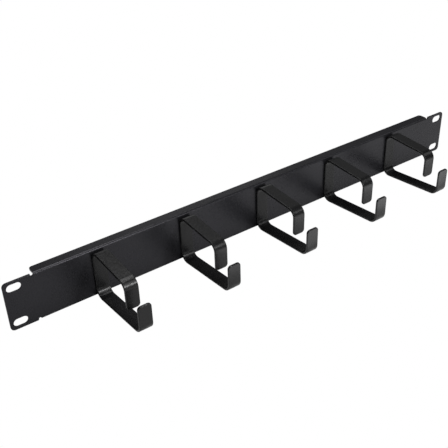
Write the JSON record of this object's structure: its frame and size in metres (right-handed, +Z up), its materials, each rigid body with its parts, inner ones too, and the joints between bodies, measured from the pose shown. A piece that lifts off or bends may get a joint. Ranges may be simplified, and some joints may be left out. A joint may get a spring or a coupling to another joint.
{
  "type": "horizontal cable manager",
  "caption": "One-unit rack panel in black sheet steel with a row of open, square-bent cable rings standing out of its front and slotted ears for bolting to a 19-inch rack.",
  "frame": {"origin": "centre of the four-slot rack mounting pattern, on the back face of the ears", "axes": "+X along the panel, to the right seen from the front; -Y out of the front, the way the rings stand; +Z up"},
  "size_m": [0.4826, 0.0785, 0.0436],
  "materials": {
    "panel_coat": "black satin powder coat with a fine grain",
    "ring_coat": "black satin powder coat with a fine grain"
  },
  "bodies": {
    "root": {"panel": "panel_coat", "ring_1": "ring_coat", "ring_2": "ring_coat", "ring_3": "ring_coat", "ring_4": "ring_coat", "ring_5": "ring_coat"}
  },
  "joints": []
}
